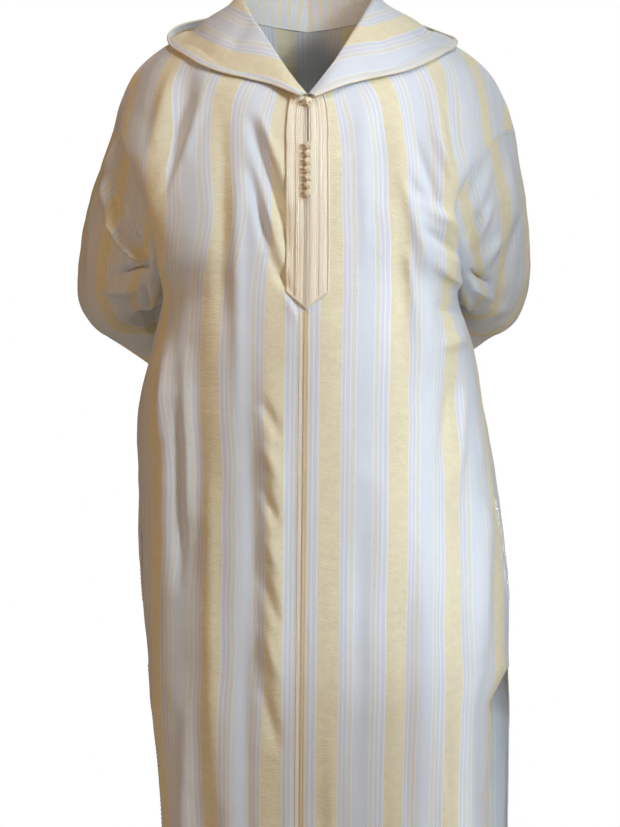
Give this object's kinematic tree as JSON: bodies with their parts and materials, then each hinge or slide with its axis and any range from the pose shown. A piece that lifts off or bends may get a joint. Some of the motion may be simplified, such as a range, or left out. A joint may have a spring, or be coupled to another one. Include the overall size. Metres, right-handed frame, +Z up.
{
  "type": "djellaba robe",
  "caption": "Ankle-length striped robe with a thrown-back pointed hood, wide sleeves bent behind the back, a braided placket with knotted buttons and side vents, in its hollow worn form.",
  "frame": {"origin": "on the centre plane between the shoulders, level with the neck's side, where the wearer holds the robe up", "axes": "+Z up towards the hood, the front faces -Y, +X towards the wearer's left"},
  "size_m": [0.6434, 0.3791, 1.4449],
  "materials": {
    "striped_cloth": "matt butter-yellow crepe stripes between satin white, cream and lilac ones, along the warp",
    "silk_braid": "peach-cream braid with a soft sheen",
    "silk_cord": "tan and cream twisted silk cord with a soft sheen"
  },
  "bodies": {
    "root": {"front_left": "striped_cloth", "front_right": "striped_cloth", "back": "striped_cloth", "sleeve_left": "striped_cloth", "sleeve_right": "striped_cloth", "hood_left": "striped_cloth", "hood_right": "striped_cloth", "placket_left": "silk_braid", "placket_right": "silk_braid", "hood_edge_left": "silk_cord", "hood_edge_right": "silk_cord", "centre_cord": "silk_cord", "vent_cord_left": "silk_cord", "vent_cord_right": "silk_cord", "pocket_cord_left": "silk_cord", "pocket_cord_right": "silk_cord", "button_top": "silk_cord", "loop_top": "silk_cord", "button_1": "silk_cord", "button_2": "silk_cord", "button_3": "silk_cord", "button_4": "silk_cord", "button_5": "silk_cord", "button_6": "silk_cord", "button_7": "silk_cord", "loop_1": "silk_cord", "loop_2": "silk_cord", "loop_3": "silk_cord", "loop_4": "silk_cord", "loop_5": "silk_cord", "loop_6": "silk_cord", "loop_7": "silk_cord"}
  },
  "joints": []
}
